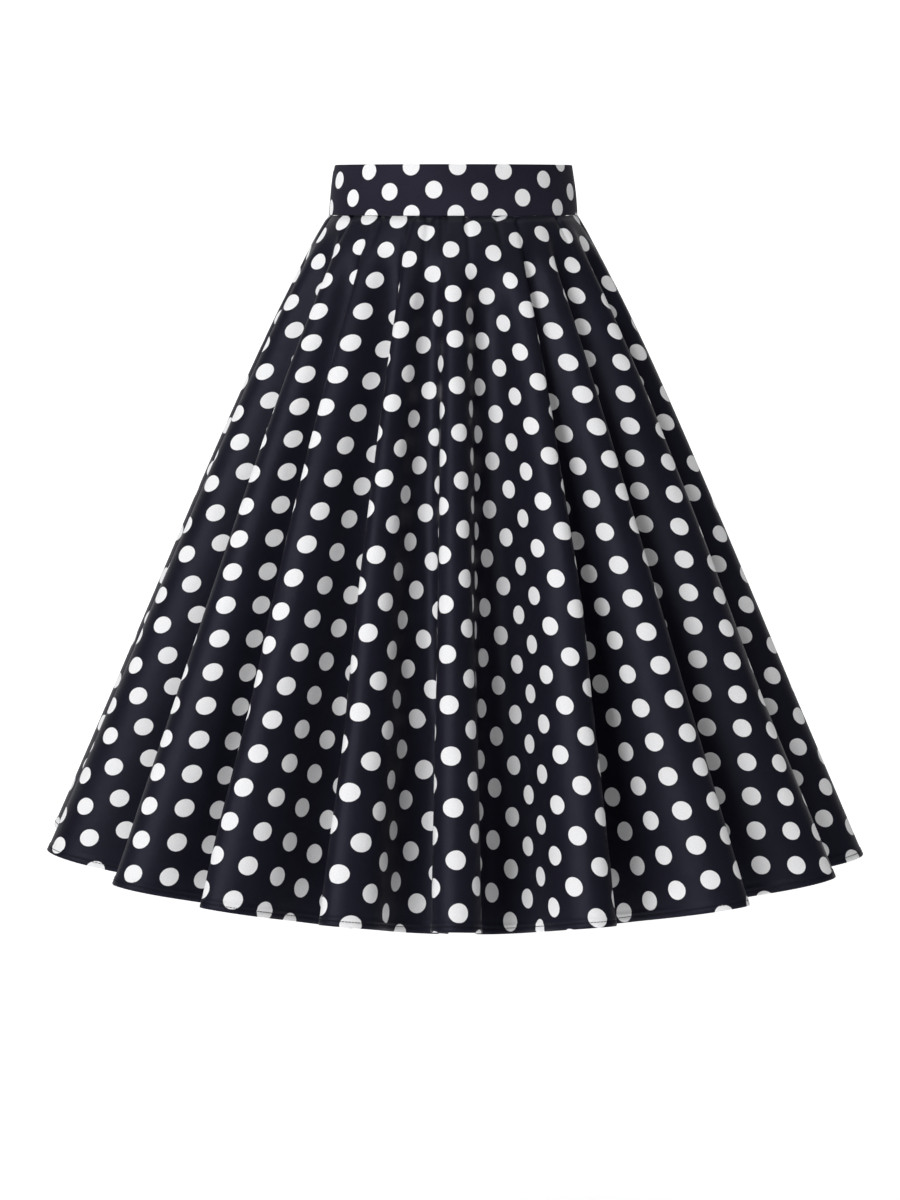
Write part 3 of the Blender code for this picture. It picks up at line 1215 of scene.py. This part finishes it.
@dataclass
class Studio:
    """Camera, light, floor and backdrop."""

    distance: float = 2.5
    eye_height: float = -0.402
    eye_shift: float = -0.003
    pixel_focal: float = 2550.0
    image_height: float = 1200.0
    sensor: float = 36.0
    floor_height: float = -1.05
    near: float = -5.0
    far: float = 6.4
    top: float = 6.6
    half_width: float = 9.0
    bend_radius: float = 2.4
    bend_steps: int = 16
    backdrop_glow: float = 0.85
    aim_height: float = -0.35
    daylight: float = 0.04

    def camera(self) -> None:
        """A level camera at the photograph's distance and height."""
        data = bpy.data.cameras.new("camera")
        data.lens = self.pixel_focal / self.image_height * self.sensor
        data.sensor_width = self.sensor
        camera = new_object("camera", data)
        camera.location = (self.eye_shift, -self.distance, self.eye_height)
        camera.rotation_euler = (math.pi / 2.0, 0.0, 0.0)
        bpy.context.scene.camera = camera

    def light(self, spec: Lamp) -> None:
        """Hang one lamp, aimed at the middle of the skirt.

        Args:
            spec: the lamp.
        """
        data = bpy.data.lights.new(spec.name, "AREA")
        data.size = spec.size
        data.energy = spec.power
        lamp = new_object(spec.name, data)
        lamp.location = spec.place
        aim = np.array([0.0, 0.0, self.aim_height]) - np.array(spec.place)
        pitch = math.pi / 2.0 + math.atan2(aim[2], math.hypot(aim[0], aim[1]))
        lamp.rotation_euler = (pitch, 0.0, math.atan2(-aim[0], aim[1]))

    def sheet(
        self, name: str, profile: Sequence[tuple[float, float]], material: Material
    ) -> None:
        """Make one wide sheet of the studio.

        Args:
            name: the sheet's name.
            profile: y and z of the line that is swept sideways.
            material: the sheet's finish.
        """
        sides = (-self.half_width, self.half_width)
        points = np.array([[(side, y, z) for side in sides] for y, z in profile])
        faces = grid_faces(len(profile), len(sides), 0, True)
        make_object(name, points, faces, [material])

    def sweep(self) -> None:
        """A floor, and a backdrop that curves up from it well behind the skirt."""
        bend = self.far - self.bend_radius
        curve = [(bend, self.floor_height)]
        for step in range(1, self.bend_steps + 1):
            turn = math.pi / 2.0 * step / self.bend_steps
            rise = self.bend_radius * (1.0 - math.cos(turn))
            curve.append((bend + self.bend_radius * math.sin(turn), self.floor_height + rise))
        curve.append((self.far, self.top))
        floor = [(self.near, self.floor_height), curve[0]]
        self.sheet("studio_floor", floor, PaleStudio().material())
        backdrop = PaleStudio("pale_backdrop", glow=self.backdrop_glow)
        self.sheet("studio_backdrop", curve, backdrop.material())

    def build(self) -> None:
        """Set up the whole studio."""
        self.camera()
        self.sweep()
        for spec in LAMPS:
            self.light(spec)
        world = bpy.data.worlds.new("soft_daylight")
        world.use_nodes = True
        sky = world.node_tree.nodes["Background"].inputs
        sky["Color"].default_value = (1.0, 1.0, 1.0, 1.0)
        sky["Strength"].default_value = self.daylight
        bpy.context.scene.world = world
        bpy.context.scene.view_settings.view_transform = "Standard"


def report(piece: Object) -> None:
    """Report one finished piece."""
    log.info("%s: %d faces", piece.name, len(piece.data.polygons))


def main() -> None:
    """Build the studio, the cloth and the sewing, in that order."""
    logging.basicConfig(level=logging.INFO, format="%(message)s")
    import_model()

    Studio().build()
    log.info("studio ready")

    cloth = DrapedCircle()
    face = DottedCotton("dotted_cotton", PrintLay.CIRCLE).material()
    back = DottedCotton("dotted_cotton_wrong_side", PrintLay.CIRCLE, ClothSide.WRONG).material()
    band_face = DottedCotton(
        "band_cotton",
        PrintLay.BAND,
        ground=(0.0148, 0.0137, 0.0222, 1.0),
        period=0.0447,
        dot_radius=0.0083,
        roughness=0.55,
        shine=0.02,
    ).material()

    for part, finishes in (
        (SkirtPanel("skirt_front", -90.0, 90.0, cloth), [face, back]),
        (SkirtPanel("skirt_back_left", 90.0, 180.0, cloth), [face, back]),
        (SkirtPanel("skirt_back_right", 180.0, 270.0, cloth), [face, back]),
        (Waistband(cloth), [band_face]),
        (HemStitches(cloth), [SpunThread("navy_thread").material()]),
    ):
        piece = part.build(*finishes)
        part.dress(piece)
        report(piece)
    report(ZipTape().dress(SpunThread("zip_tape_weave").material()))


if __name__ == "__main__":
    main()
